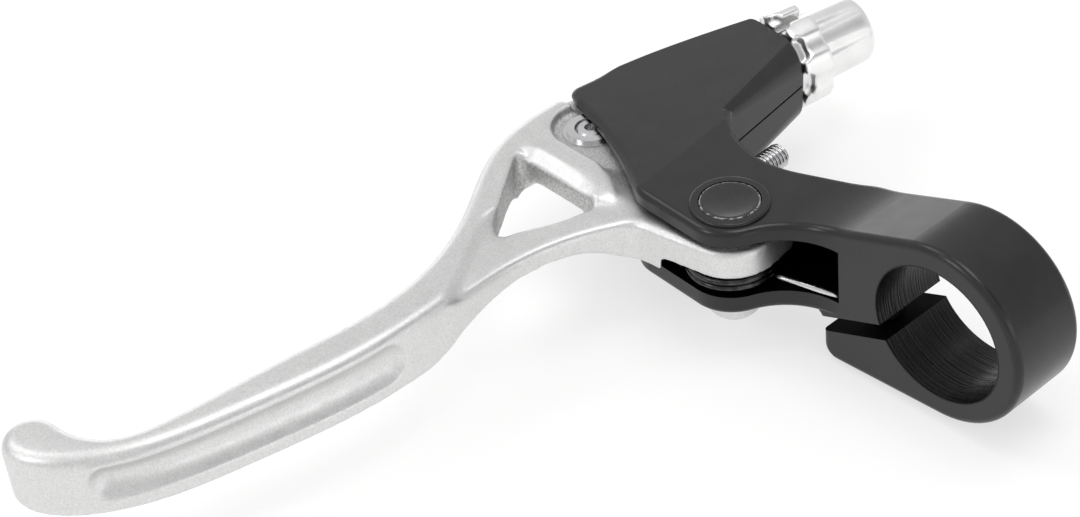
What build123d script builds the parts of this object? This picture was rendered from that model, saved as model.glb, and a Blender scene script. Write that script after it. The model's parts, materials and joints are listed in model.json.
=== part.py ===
from build123d import *
import os
from math import acos, atan2, cos, degrees, pi, radians, sin, sqrt, tan

# Bicycle brake lever for a flat handlebar, left hand, in millimetres.
# The origin is the middle of the handlebar clamp. X runs along the bar towards
# its middle, Y points forward, away from the rider, and Z points up.

os.makedirs("parts", exist_ok=True)

# Handlebar clamp
BAR_DIAMETER = 22.2
BAR_CLEARANCE = 0.05
CLAMP_WALL = 3.7
CLAMP_WIDTH = 13.5
SLIT_WIDTH = 2.5
SLIT_ANGLE = 21.5
SLIT_DROP = 1.1
JAW_REACH = 21.7
JAW_SLOPE = 3.0
JAW_CORNER = 2.5
JAW_ROOT = 3.0
BODY_EDGE = 1.1

# Clamp bolt, put in from below
BOLT_DIAMETER = 5.0
BOLT_LENGTH = 14.0
BOLT_SETBACK = 6.8
BOLT_HEAD_DIAMETER = 8.5
BOLT_HEAD_HEIGHT = 3.0
BOLT_SOCKET = 4.0
BOLT_SOCKET_DEPTH = 2.0
BOLT_RECESS = 3.2
BOLT_WASHER_DIAMETER = 9.2
BOLT_WASHER_THICKNESS = 0.8

# Arm and fork: two plates with a slot for the blade between them. Points are measured from the pivot
ARM_FOOT = -14.6
ARM_BEND = 30.0
SLOT_MID_Z = 0.6
SLOT_HEIGHT = 9.4
SLOT_END_Y = 18.4
SLOT_CORNER = 1.5
TOP_PLATE = 2.7
BOTTOM_PLATE = 3.4
PIVOT_X = -10.7
PIVOT_Y = 36.0
PIVOT_END_RADIUS = 7.4
PIVOT_END_BLEND = 12.0
WAIST_START = -14.2
WAIST_BLEND = 8.0
WAIST_BEND = (12.6, -2.2)
WAIST_WALL = 2.2
CROOK = (17.7, 16.4)
LIP_CORNER = (-6.7, 12.9)
LIP_MIDDLE = (0.5, 26.0)
LIP_TOP = (4.8, 38.4)
FRONT_CORNER = (6.7, 41.9)
LIP_BLEND = 5.5
FRONT_BLEND = 2.0
FACET_SLOPE = 4.1
FACET_TURN = 6.4

# Cable anchor, measured from the pivot, and the neck, measured along the cable from the anchor
ANCHOR_X = 2.7
ANCHOR_Y = 32.9
CABLE_ANGLE = -9.5
CABLE_SLOT = 1.8
NECK_ROOT = 12.0
NECK_END = 36.2
NECK_ROOT_BACK = 15.3
NECK_ROOT_FRONT = 9.4
NECK_END_WIDTH = 15.2
NECK_ROOT_ROUND = 1.2
NECK_END_ROUND = 5.0
NECK_EDGE = 0.8
PARTING_WIDTH = 0.35
PARTING_DEPTH = 0.3
NECK_HOLLOW = 12.0

# Pivot
AXLE_DIAMETER = 6.0
AXLE_HEAD_DIAMETER = 9.3
AXLE_HEAD_HEIGHT = 2.1
AXLE_HEAD_EDGE = 0.3
AXLE_DISH_DIAMETER = 8.0
AXLE_DISH = 0.5
AXLE_END_GAP = 0.2
BOSS_DIAMETER = 12.2
BOSS_HEIGHT = 0.5
BOSS_EDGE = 0.4
SCREW_DIAMETER = 4.0
SCREW_LENGTH = 7.0
SCREW_HEAD_DIAMETER = 8.0
SCREW_HEAD_HEIGHT = 5.6
SCREW_DOME = 2.1
SCREW_SOCKET = 4.0
SCREW_SOCKET_DEPTH = 3.0
BUSH_WALL = 1.0
WASHER_DIAMETER = 11.6
WASHER_THICKNESS = 1.0
RUNNING_CLEARANCE = 0.05
SIDE_CLEARANCE = 0.1

# Return spring, a torsion spring round the axle
SPRING_WIRE = 1.0
SPRING_RADIUS = 6.8
SPRING_TURNS = 2
SPRING_PITCH = 1.05
SPRING_ANGLE = -55.0
SPRING_TAIL = 2.2
SPRING_BEND = 1.0
SPRING_LEG_X = 4.9

# Blade: heights, then its outline seen from above, measured from the pivot
BLADE_TOP_Z = 5.8
YOKE_BOTTOM_Z = -3.3
GRIP_BOTTOM_Z = -5.0
HEAD_RADIUS = 7.5
HEEL = (7.4, -6.6)
HEEL_CORNER = 2.2
SPOTFACE_RADIUS = 10.6
ARCH_START = -47.0
ARCH = [(-38.0, -2.2), (-33.0, -0.5), (-23.0, 0.7), (-13.5, -0.8), (-10.3, -2.5)]
ARCH_END = -7.0
HEAD_CORNER = (-9.4, 11.3)
HEAD_CORNER_BLEND = 3.0
BACK_EDGE = [(-12.9, 13.2), (-27.3, 17.5), (-45.0, 17.1), (-58.5, 17.6), (-76.1, 21.0), (-94.6, 27.6)]
TIP_CENTRE = (-98.9, 39.3)
TIP_RADIUS = 4.3
FRONT_EDGE = [(-91.3, 31.0), (-83.0, 28.0), (-65.5, 26.1), (-44.0, 24.8), (-25.2, 31.9), (-10.6, 40.7)]
NOSE_FRONT = 42.4
NOSE_SIDE = 11.2
NOSE_CORNER = 5.5
BLADE_EDGE = 2.0
YOKE_EDGE = 1.2

# Window in the blade, and the edges of the parts of its top that lie lower
WINDOW = [(-25.8, 24.7), (-9.4, 36.9), (-9.9, 17.9)]
WINDOW_TOP_CORNERS = [1.4, 0.7, 1.4]
WINDOW_LOW_CORNERS = [1.4, 2.6, 1.4]
WINDOW_LOW_Z = 1.2
WINDOW_UNDER_SLOPE = 45.0
RIB_SLOPE = 2.6
RIB_DROP = 1.2
RIB_HOLLOW = 9.0
RIB_INSET = 4.0
LEG_STEP = [(-44.0, 15.0), (-33.0, 21.0), (-24.0, 26.8), (-21.0, 26.0), (-12.0, 20.5), (-7.0, 15.0)]
LEG_STEP_BEND = 4.0
LEG_STEP_SLOPE = 45.0
POCKET_RADIUS = 6.1
POCKET_END = 4.5
POCKET_EDGE = [(-3.4, 32.9), (-3.6, 22.0), (-9.0, 14.0)]

# Oval groove in the side of the grip that the fingers pull
GROOVE_START = -49.5
GROOVE_END = -94.0
GROOVE_HEIGHT = 6.6
GROOVE_MID_Z = 0.5
GROOVE_DEPTH = 1.8
GROOVE_ROUND = 1.5

# Cable anchor in the blade
ANCHOR_BUSH_DIAMETER = 6.6
ANCHOR_RIM_DIAMETER = 7.6
ANCHOR_FLANGE_DIAMETER = 8.8
ANCHOR_FLANGE_HEIGHT = 0.3
ANCHOR_RIM_HEIGHT = 0.8
ANCHOR_PIN_DIAMETER = 5.0
ANCHOR_PIN_CHAMFER = 0.5
ANCHOR_PIN_DIMPLE = 2.0
CABLE_HOLE = 2.2
CABLE_FAN_FRONT = 0.05
CABLE_FAN_BACK = 0.5

# Barrel adjuster and its lock ring
BARREL_DIAMETER = 10.0
BARREL_START = 18.0
BARREL_HEAD_DIAMETER = 12.1
BARREL_TIP_DIAMETER = 11.5
BARREL_END = 53.1
BARREL_ROUND = 1.3
BARREL_FLUTES = 8
BARREL_FLUTE_RADIUS = 1.8
BARREL_FLUTE_DEPTH = 0.45
HOUSING_DIAMETER = 5.0
HOUSING_CLEARANCE = 0.05
HOUSING_DEPTH = 8.0
RING_DIAMETER = 17.0
RING_LENGTH = 5.6
RING_GAP = 0.4
RING_NOTCHES = 8
RING_NOTCH_WIDTH = 4.2
RING_NOTCH_LENGTH = 1.7
RING_NOTCH_DEPTH = 1.6
RING_NOTCH_CORNER = 1.2
RING_FLUTE_RADIUS = 4.0
RING_FLUTE_DEPTH = 0.6
RING_SLOT_ANGLE = 92.0

# Reach screw, along X through the wall of the slot
REACH_DIAMETER = 4.0
REACH_OFFSET = 9.5
REACH_LENGTH = 12.6
REACH_SOCKET = 2.0
REACH_SOCKET_DEPTH = 2.5
REACH_CHAMFER = 0.5
REACH_GAP = 0.1

# Derived sizes
BORE_RADIUS = BAR_DIAMETER / 2 + BAR_CLEARANCE
CLAMP_RADIUS = BORE_RADIUS + CLAMP_WALL
SLOT_TOP_Z = SLOT_MID_Z + SLOT_HEIGHT / 2
SLOT_BOTTOM_Z = SLOT_MID_Z - SLOT_HEIGHT / 2
FORK_TOP_Z = SLOT_TOP_Z + TOP_PLATE
FORK_BOTTOM_Z = SLOT_BOTTOM_Z - BOTTOM_PLATE
SPRING_HEIGHT = SPRING_TURNS * SPRING_PITCH + SPRING_WIRE
HEAD_TOP_Z = SLOT_TOP_Z - WASHER_THICKNESS - SIDE_CLEARANCE
HEAD_BOTTOM_Z = SLOT_BOTTOM_Z + SPRING_HEIGHT + 2 * SIDE_CLEARANCE
AXLE_HOLE_RADIUS = AXLE_DIAMETER / 2 + RUNNING_CLEARANCE
BUSH_RADIUS = AXLE_HOLE_RADIUS + BUSH_WALL
BOSS_TOP_Z = FORK_TOP_Z + BOSS_HEIGHT
AXLE_SEAT_Z = BOSS_TOP_Z - AXLE_HEAD_HEIGHT
PIVOT = Vector(PIVOT_X, PIVOT_Y)
REACH_Y = PIVOT_Y + REACH_OFFSET
FAR = 150.0

CABLE_DIR = Vector(cos(radians(CABLE_ANGLE)), sin(radians(CABLE_ANGLE)), 0)
CABLE_FRONT = Vector(-CABLE_DIR.Y, CABLE_DIR.X, 0)
ANCHOR = PIVOT + Vector(ANCHOR_X, ANCHOR_Y)
# Frame of the cable: local x to the front, y up and z along the cable from its anchor
CABLE = Plane(
    origin=(ANCHOR.X, ANCHOR.Y, SLOT_MID_Z),
    x_dir=tuple(CABLE_FRONT),
    z_dir=tuple(CABLE_DIR),
)


def from_pivot(point):
    """Place a point given from the pivot in the plane of the bar."""
    return PIVOT + Vector(point)


def nearest(shape, point):
    """The vertex of a flat shape that lies nearest to a point."""
    return min(shape.vertices(), key=lambda v: (Vector(v.X, v.Y) - Vector(point)).length)


def head_tangent(point, side):
    """Where a line from a point touches the round head of the blade, to its left (1) or right (-1)."""
    angle = atan2(point.Y, point.X) + side * acos(HEAD_RADIUS / point.length)
    return Vector(HEAD_RADIUS * cos(angle), HEAD_RADIUS * sin(angle))


def prism(face, low, high):
    """A flat shape pulled up from one height to another."""
    return Pos(0, 0, low) * extrude(face, high - low)


def disc(radius, low, high, centre=PIVOT):
    """An upright cylinder between two heights."""
    upwards = (Align.CENTER, Align.CENTER, Align.MIN)
    return Pos(centre.X, centre.Y, low) * Cylinder(radius, high - low, align=upwards)


def rod(radius, start, end):
    """A cylinder along the cable."""
    onwards = (Align.CENTER, Align.CENTER, Align.MIN)
    return Pos(0, 0, start) * Cylinder(radius, end - start, align=onwards)


def hexagon(across, depth):
    """A hexagonal socket of a width across flats, from the origin along +Z."""
    return extrude(RegularPolygon(across / 2, 6, major_radius=False), depth)


def jaw_bottom(y):
    """Height of the underside of the jaw, a straight line tangent to the clamp ring."""
    lean = radians(JAW_SLOPE)
    return -CLAMP_RADIUS * cos(lean) - (y + CLAMP_RADIUS * sin(lean)) * tan(lean)


def arm_profile():
    """The arm and fork seen along the bar, as local x = Y and y = Z: the slope off the ring, then level."""
    foot = Vector(PIVOT_Y + ARM_FOOT, FORK_TOP_Z)
    angle = atan2(foot.Y, foot.X) + acos(CLAMP_RADIUS / foot.length)
    crown = Vector(CLAMP_RADIUS * cos(angle), CLAMP_RADIUS * sin(angle))
    profile = make_face(Curve() + [
        RadiusArc((0, CLAMP_RADIUS), crown, CLAMP_RADIUS),
        Polyline(crown, foot, (FAR, FORK_TOP_Z), (FAR, FORK_BOTTOM_Z)),
        Polyline((FAR, FORK_BOTTOM_Z), (0, FORK_BOTTOM_Z), (0, CLAMP_RADIUS)),
    ])
    return fillet(nearest(profile, foot), ARM_BEND)


def clamp_profile():
    """The clamp ring, arm and jaw seen along the bar, as local x = Y and y = Z."""
    lean = radians(JAW_SLOPE)
    heel = (-CLAMP_RADIUS * sin(lean), -CLAMP_RADIUS * cos(lean))
    toe = (JAW_REACH, jaw_bottom(JAW_REACH))
    jaw = make_face(Polyline((0, 0), heel, toe, (JAW_REACH, 0), close=True))
    jaw = fillet(nearest(jaw, toe), JAW_CORNER)
    profile = Circle(CLAMP_RADIUS) + arm_profile() + jaw
    return fillet(nearest(profile, (JAW_REACH, FORK_BOTTOM_Z)), JAW_ROOT)


def bracket_plan():
    """The arm and fork seen from above, without the neck."""
    half = CLAMP_WIDTH / 2
    waist = Vector(half, PIVOT_Y + WAIST_START)
    bend = from_pivot(WAIST_BEND)
    crook = from_pivot(CROOK)
    neck_front = ANCHOR + CABLE_DIR * NECK_ROOT + CABLE_FRONT * NECK_ROOT_FRONT
    corners = [from_pivot(p) for p in (FRONT_CORNER, LIP_TOP, LIP_CORNER)]
    plan = make_face(Curve() + [
        Polyline((-half, PIVOT_Y), (-half, 0), (half, 0), waist, bend),
        TangentArc(bend, crook, tangent=bend - waist),
        Polyline(crook, neck_front, corners[0], corners[1]),
        ThreePointArc(corners[1], from_pivot(LIP_MIDDLE), corners[2]),
        Polyline(corners[2], from_pivot((-PIVOT_END_RADIUS, 0)), (-half, PIVOT_Y)),
    ])
    plan += Pos(PIVOT_X, PIVOT_Y) * Circle(PIVOT_END_RADIUS)
    inset = PIVOT_X + half
    armpit = (-half, PIVOT_Y - sqrt(PIVOT_END_RADIUS ** 2 - inset ** 2))
    plan = fillet(nearest(plan, armpit), PIVOT_END_BLEND)
    plan = fillet(nearest(plan, waist), WAIST_BLEND)
    plan = fillet(nearest(plan, corners[0]), FRONT_BLEND)
    plan = fillet(nearest(plan, corners[1]), FRONT_BLEND)
    return fillet(nearest(plan, corners[2]), LIP_BLEND)


def facet():
    """What the sloping front of the top plate takes off."""
    crease = from_pivot(LIP_CORNER)
    block = Box(2 * FAR, 2 * FAR, FAR, align=(Align.CENTER, Align.CENTER, Align.MIN))
    return Pos(crease.X, crease.Y, FORK_TOP_Z) * Rot(0, 0, FACET_TURN) * Rot(-FACET_SLOPE, 0, 0) * block


def outer_rim(body):
    """The edges between the upright walls of the fork and the faces above and below them."""
    walls = body.faces().filter_by(lambda f: abs(f.normal_at().Z) < 1e-3 and abs(f.normal_at().X) > 1e-3)
    others = body.faces() - walls
    rim = walls.edges() & others.edges()
    return rim.filter_by(lambda e: e.center().Y > BODY_EDGE)


def half_space(end_y, end_z):
    """All that lies behind a Y and below a Z."""
    return Pos(0, end_y, end_z) * Box(FAR, FAR, FAR, align=(Align.CENTER, Align.MAX, Align.MAX))


def clamp_block():
    """The clamp ring and its jaw, rounded along both sides, as far as the fork."""
    block = extrude(Plane.YZ * clamp_profile(), CLAMP_WIDTH / 2, both=True)
    block = fillet(block.faces().filter_by(Axis.X).edges(), BODY_EDGE)
    jaw = half_space(JAW_REACH + JAW_ROOT, FORK_BOTTOM_Z + BODY_EDGE) & prism(bracket_plan(), -FAR, FAR)
    return block & (half_space(CLAMP_RADIUS, FAR / 2) + jaw)


def fork_block():
    """The arm and fork in front of the clamp ring, with a rounded rim."""
    fork = extrude(Plane.YZ * arm_profile(), FAR, both=True) & prism(bracket_plan(), -FAR, FAR)
    fork -= facet()
    return fillet(outer_rim(fork), BODY_EDGE) - half_space(CLAMP_RADIUS, FAR / 2)


def neck_loft(inset=0):
    """The taper of the neck along the cable, drawn in by an inset."""
    height = FORK_TOP_Z - FORK_BOTTOM_Z - 2 * inset
    middle = (FORK_TOP_Z + FORK_BOTTOM_Z) / 2 - SLOT_MID_Z
    root = RectangleRounded(NECK_ROOT_FRONT + NECK_ROOT_BACK - 2 * inset, height, NECK_ROOT_ROUND)
    root = Pos((NECK_ROOT_FRONT - NECK_ROOT_BACK) / 2, middle, NECK_ROOT) * root
    end = Pos(0, middle, NECK_END) * RectangleRounded(NECK_END_WIDTH - 2 * inset, height, NECK_END_ROUND)
    return loft([root, end])


def neck():
    """The tapering boss that the barrel screws into, with the line where its mould parted."""
    boss = neck_loft()
    boss = fillet(boss.faces().sort_by(Axis.Z)[-1].edges(), NECK_EDGE)
    parting = Pos(0, 0, FAR / 2) * Box(FAR, PARTING_WIDTH, FAR)
    return CABLE * (boss - (parting - neck_loft(PARTING_DEPTH)))


def slot():
    """The space between the fork plates, open to the left and the front."""
    corner = Vector(CLAMP_WIDTH / 2 - WAIST_WALL, SLOT_END_Y)
    bend = from_pivot(WAIST_BEND) - Vector(WAIST_WALL, 0)
    neck_wall = (ANCHOR.X + NECK_HOLLOW, PIVOT_Y + CROOK[1])
    plan = make_face(Curve() + [
        Polyline((neck_wall[0], FAR), (-FAR, FAR), (-FAR, SLOT_END_Y), corner, bend),
        TangentArc(bend, neck_wall, tangent=bend - corner),
        Line(neck_wall, (neck_wall[0], FAR)),
    ])
    plan = fillet(nearest(plan, corner), SLOT_CORNER)
    return prism(plan, SLOT_BOTTOM_Z, SLOT_TOP_Z)


def clamp_cuts():
    """The bar's bore and the slit that lets the jaw close on it."""
    bore = Circle(BORE_RADIUS)
    slit = Rot(0, 0, -SLIT_ANGLE) * Pos(FAR / 2, -SLIT_DROP) * Rectangle(FAR, SLIT_WIDTH)
    return extrude(Plane.YZ * (bore + slit), CLAMP_WIDTH, both=True)


BOLT_Y = JAW_REACH - BOLT_SETBACK
BOLT_SEAT_Z = jaw_bottom(BOLT_Y) + BOLT_RECESS
BOLT_AXIS = Vector(0, BOLT_Y)
BOLT_HEAD_TOP_Z = BOLT_SEAT_Z - BOLT_WASHER_THICKNESS
BOLT_END_Z = BOLT_HEAD_TOP_Z + BOLT_LENGTH


def bolt_cuts():
    """The clamp bolt's recess and hole."""
    radius = BOLT_DIAMETER / 2 + RUNNING_CLEARANCE
    hole = disc(radius, BOLT_SEAT_Z, BOLT_END_Z + RUNNING_CLEARANCE, BOLT_AXIS)
    recess = disc(BOLT_WASHER_DIAMETER / 2 + SIDE_CLEARANCE, -FAR, BOLT_SEAT_Z, BOLT_AXIS)
    return hole + recess


def bracket_body():
    """The casting: clamp, arm, fork and neck."""
    body = clamp_block() + fork_block()
    body += neck() - facet()
    boss = disc(BOSS_DIAMETER / 2, FORK_TOP_Z - TOP_PLATE / 2, BOSS_TOP_Z)
    body += fillet(boss.faces().sort_by(Axis.Z)[-1].edges(), BOSS_EDGE)
    body -= slot()
    body -= clamp_cuts()
    body -= bolt_cuts()
    body -= disc(AXLE_HOLE_RADIUS, -FAR, FAR)
    body -= disc(AXLE_HEAD_DIAMETER / 2 + SIDE_CLEARANCE, AXLE_SEAT_Z, FAR)
    body -= CABLE * rod(BARREL_DIAMETER / 2 + RUNNING_CLEARANCE, 0, FAR)
    cable_way = Pos(FAR / 2, 0, FAR / 2) * Box(FAR, CABLE_SLOT, FAR)
    body -= CABLE * cable_way
    reach_hole = Rot(0, 90, 0) * Cylinder(REACH_DIAMETER / 2 + RUNNING_CLEARANCE, FAR)
    body -= Pos(0, REACH_Y, SLOT_MID_Z) * reach_hole
    return body


def back_edge():
    """The edge of the blade that the fingers pull, from its head to its tip."""
    end = Vector(TIP_CENTRE) - Vector(TIP_RADIUS, 0)
    lead = Vector(BACK_EDGE[0]) - Vector(HEAD_CORNER)
    return Spline([*BACK_EDGE, end], tangents=[lead, (0, 1)], tangent_scalars=[1, 1])


def front_edge():
    """The edge of the blade away from the rider, from its tip to its nose."""
    points = [Vector(TIP_CENTRE) + Vector(TIP_RADIUS, 0), *FRONT_EDGE, (0, NOSE_FRONT)]
    return Spline(points, tangents=[(0, -1), (1, 0)], tangent_scalars=[1, 1])


def blade_outline():
    """The blade seen from above: head, leg, grip, ball tip, outer leg and nose."""
    back = back_edge()
    front = front_edge()
    corner = Vector(HEAD_CORNER)
    nose = Vector(NOSE_SIDE, NOSE_FRONT)
    outline = make_face(Curve() + [
        Polyline((0, 0), head_tangent(corner, 1), corner, back @ 0),
        back,
        ThreePointArc(back @ 1, Vector(TIP_CENTRE) + Vector(0, TIP_RADIUS), front @ 0),
        front,
        Polyline(front @ 1, nose, head_tangent(nose, -1), (0, 0)),
    ])
    outline += Circle(HEAD_RADIUS)
    heel = Vector(HEEL)
    outline += make_face(Polyline((0, 0), head_tangent(heel, -1), heel, head_tangent(heel, 1), close=True))
    outline = fillet(nearest(outline, heel), HEEL_CORNER)
    outline = fillet(nearest(outline, corner), HEAD_CORNER_BLEND)
    return fillet(nearest(outline, nose), NOSE_CORNER)


def rounded_top(face, low, high, edge):
    """A flat shape pulled up between two heights, with its top edge rounded."""
    block = prism(face, low, high)
    return fillet(block.faces().sort_by(Axis.Z)[-1].edges(), edge)


def under_cut():
    """What is taken from below: an arch from the grip to the head, then level to the nose."""
    start = (ARCH_START, GRIP_BOTTOM_Z)
    end = (ARCH_END, YOKE_BOTTOM_Z)
    arch = make_face(Curve() + [
        Spline([start, *ARCH, end], tangents=[(1, 0), (1, 0)], tangent_scalars=[1, 1]),
        Polyline(end, (FAR, YOKE_BOTTOM_Z), (FAR, -FAR), (ARCH_START, -FAR), start),
    ])
    return extrude(Plane.XZ * arch, FAR, both=True)


def groove():
    """The oval groove: a round-edged channel along the back of the grip, seen as an oval from behind."""
    path = back_edge()
    section = Plane(origin=path @ 0, x_dir=(0, 0, 1), z_dir=path % 0)
    channel = RectangleRounded(GROOVE_HEIGHT, 2 * GROOVE_DEPTH, GROOVE_ROUND)
    channel = section * Pos(GROOVE_MID_Z, 0) * channel
    middle = (GROOVE_START + GROOVE_END) / 2
    oval = Pos(middle, GROOVE_MID_Z) * SlotOverall(GROOVE_START - GROOVE_END, GROOVE_HEIGHT)
    return sweep(channel, path=path) & extrude(Plane.XZ * oval, FAR, both=True)


def upper_cuts():
    """What is missing above the yoke: a step with a sloping side over the leg, and the fork's pocket."""
    leg = make_face(Polyline(*LEG_STEP, (LEG_STEP[-1][0], 0), (LEG_STEP[0][0], 0), close=True))
    leg = fillet([nearest(leg, p) for p in LEG_STEP[1:-1]], LEG_STEP_BEND)
    slope = Pos(0, 0, HEAD_TOP_Z) * extrude(leg, BLADE_TOP_Z - HEAD_TOP_Z, taper=-LEG_STEP_SLOPE)
    pocket = make_face(Polyline(
        *POCKET_EDGE, (POCKET_EDGE[-1][0], -FAR), (FAR, -FAR), (FAR, FAR), (POCKET_END, FAR),
        (POCKET_END, ANCHOR_Y), close=True))
    pocket += Pos(ANCHOR_X, ANCHOR_Y) * Circle(POCKET_RADIUS)
    return slope + prism(leg, GRIP_BOTTOM_Z, HEAD_TOP_Z) + prism(pocket, GRIP_BOTTOM_Z, BLADE_TOP_Z)


def window_face(corners):
    """The three-cornered window, each corner with its own radius."""
    face = make_face(Polyline(*WINDOW, close=True))
    for point, radius in zip(WINDOW, corners):
        face = fillet(nearest(face, point), radius)
    return face


def window():
    """The opening between the legs of the blade, rounder below than above."""
    low = window_face(WINDOW_LOW_CORNERS)
    top = window_face(WINDOW_TOP_CORNERS)
    funnel = loft([Pos(0, 0, WINDOW_LOW_Z) * low, Pos(0, 0, BLADE_TOP_Z) * top])
    return prism(low, -FAR, WINDOW_LOW_Z) + funnel


def rib_underside():
    """What slopes the underside of the rib away from the window."""
    low = Vector(WINDOW[2])
    run = Vector(WINDOW[1]) - low
    drop = WINDOW_LOW_Z - GRIP_BOTTOM_Z
    aside = drop * tan(radians(WINDOW_UNDER_SLOPE))
    wedge = make_face(Polyline((0, 0), (-aside, -drop), (aside, -drop), close=True))
    turn = degrees(atan2(run.Y, run.X))
    ridge = Pos(low.X, low.Y, WINDOW_LOW_Z) * Rot(0, 0, turn)
    return ridge * Pos(RIB_INSET) * extrude(Plane.YZ * wedge, run.length - RIB_INSET)


def rib_hollow():
    """What scoops the rib between window and pocket down to the window: a long round-ended ball."""
    low = Vector(WINDOW[2])
    run = Vector(WINDOW[1]) - low
    slope = sqrt(RIB_SLOPE ** 2 + RIB_DROP ** 2)
    rise = sqrt(RIB_HOLLOW ** 2 - slope ** 2 / 4)
    aside = RIB_SLOPE / 2 - rise * RIB_DROP / slope
    height = BLADE_TOP_Z - RIB_DROP / 2 + rise * RIB_SLOPE / slope
    length = run.length - 2 * RIB_INSET
    half = make_face(Curve() + [
        Line((-RIB_HOLLOW, 0), (length + RIB_HOLLOW, 0)),
        RadiusArc((length + RIB_HOLLOW, 0), (length, RIB_HOLLOW), -RIB_HOLLOW),
        Line((length, RIB_HOLLOW), (0, RIB_HOLLOW)),
        RadiusArc((0, RIB_HOLLOW), (-RIB_HOLLOW, 0), -RIB_HOLLOW),
    ])
    ball = Pos(RIB_INSET, -aside) * revolve(half, Axis.X)
    ball &= Box(FAR, FAR, FAR, align=(Align.CENTER, Align.MAX, Align.CENTER))
    return Pos(low.X, low.Y, height) * Rot(0, 0, degrees(atan2(run.Y, run.X))) * ball


def cable_fan():
    """The space the cable sweeps in the blade as it is pulled, from its anchor outwards."""
    fan = make_face(Polyline((0, 0), (CABLE_FAN_FRONT * FAR, FAR), (-CABLE_FAN_BACK * FAR, FAR), close=True))
    flat = extrude(Plane.XZ * fan, CABLE_HOLE / 2, both=True)
    return flat + Pos(0, 0, FAR / 2) * Box(CABLE_HOLE, CABLE_HOLE, FAR)


def spring_points():
    """Where the coil starts, from the pivot, and the direction of its wire there."""
    angle = radians(SPRING_ANGLE)
    start = Vector(SPRING_RADIUS * cos(angle), SPRING_RADIUS * sin(angle))
    climb = SPRING_PITCH / (2 * pi * SPRING_RADIUS)
    return start, Vector(-sin(angle), cos(angle), climb)


def lever_blade():
    """The cast lever."""
    outline = blade_outline()
    centre = Vector(0, 0)
    blade = rounded_top(outline, GRIP_BOTTOM_Z, BLADE_TOP_Z, BLADE_EDGE) - upper_cuts()
    blade += rounded_top(outline, GRIP_BOTTOM_Z, HEAD_TOP_Z, YOKE_EDGE)
    blade -= under_cut()
    blade -= disc(SPOTFACE_RADIUS, -FAR, HEAD_BOTTOM_Z, centre)
    blade -= window()
    blade -= rib_hollow()
    blade -= rib_underside()
    blade -= groove()
    blade -= disc(BUSH_RADIUS, -FAR, FAR, centre)
    blade -= disc(ANCHOR_BUSH_DIAMETER / 2, -FAR, FAR, Vector(ANCHOR_X, ANCHOR_Y))
    start, heading = spring_points()
    hook = start + heading * SPRING_TAIL
    blade -= disc(SPRING_WIRE / 2 + SIDE_CLEARANCE, -FAR, HEAD_TOP_Z - WASHER_THICKNESS, hook)
    blade = Pos(PIVOT_X, PIVOT_Y) * blade
    return blade - CABLE * cable_fan()


def pivot_axle():
    """The axle, with a dished head and a thread inside its lower end."""
    head = disc(AXLE_HEAD_DIAMETER / 2, AXLE_SEAT_Z, BOSS_TOP_Z)
    head = fillet(head.faces().sort_by(Axis.Z)[-1].edges(), AXLE_HEAD_EDGE)
    sphere = ((AXLE_DISH_DIAMETER / 2) ** 2 + AXLE_DISH ** 2) / (2 * AXLE_DISH)
    head -= Pos(PIVOT_X, PIVOT_Y, BOSS_TOP_Z - AXLE_DISH + sphere) * Sphere(sphere)
    shaft = disc(AXLE_DIAMETER / 2, FORK_BOTTOM_Z + AXLE_END_GAP, AXLE_SEAT_Z)
    bore = disc(SCREW_DIAMETER / 2 + RUNNING_CLEARANCE, -FAR, FORK_BOTTOM_Z + SCREW_LENGTH + AXLE_END_GAP)
    return head + shaft - bore


def pivot_screw():
    """The dome-headed screw under the fork."""
    low = FORK_BOTTOM_Z - SCREW_HEAD_HEIGHT
    half = SCREW_HEAD_DIAMETER / 2
    sphere = (half ** 2 + SCREW_DOME ** 2) / (2 * SCREW_DOME)
    head = disc(half, low + SCREW_DOME, FORK_BOTTOM_Z)
    head += Pos(PIVOT_X, PIVOT_Y, low + sphere) * Sphere(sphere) & disc(half, low, low + SCREW_DOME)
    head -= Pos(PIVOT_X, PIVOT_Y, low) * hexagon(SCREW_SOCKET, SCREW_SOCKET_DEPTH)
    return head + disc(SCREW_DIAMETER / 2, FORK_BOTTOM_Z, FORK_BOTTOM_Z + SCREW_LENGTH)


def pivot_bush():
    """The plain bearing pressed into the blade."""
    return disc(BUSH_RADIUS, HEAD_BOTTOM_Z, HEAD_TOP_Z) - disc(AXLE_HOLE_RADIUS, -FAR, FAR)


def thrust_washer():
    """The washer between the blade and the top plate."""
    ring = disc(WASHER_DIAMETER / 2, SLOT_TOP_Z - WASHER_THICKNESS, SLOT_TOP_Z)
    return ring - disc(AXLE_HOLE_RADIUS, -FAR, FAR)


def return_spring():
    """The torsion spring: a leg to the end of the slot, the coil, and a hook up into the blade."""
    start, heading = spring_points()
    low = SLOT_BOTTOM_Z + SIDE_CLEARANCE + SPRING_WIRE / 2
    high = low + SPRING_TURNS * SPRING_PITCH
    coil_start = from_pivot(start) + Vector(0, 0, low)
    coil_end = from_pivot(start) + Vector(0, 0, high)
    knee = coil_start - heading * SPRING_TAIL
    hook = coil_end + heading * SPRING_TAIL
    foot = Vector(PIVOT_X + SPRING_LEG_X, SLOT_END_Y + SIDE_CLEARANCE, knee.Z)
    leg = FilletPolyline(foot, knee, coil_start, radius=SPRING_BEND)
    coil = Pos(PIVOT_X, PIVOT_Y, low) * Rot(0, 0, SPRING_ANGLE) * Helix(
        SPRING_PITCH, SPRING_TURNS * SPRING_PITCH, SPRING_RADIUS)
    tail = FilletPolyline(coil_end, hook, hook + Vector(0, 0, SPRING_TAIL), radius=SPRING_BEND)
    path = Wire(leg.edges() + coil.edges() + tail.edges())
    section = Plane(origin=foot, z_dir=leg % 0) * Circle(SPRING_WIRE / 2)
    return sweep(section, path=path)


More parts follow.
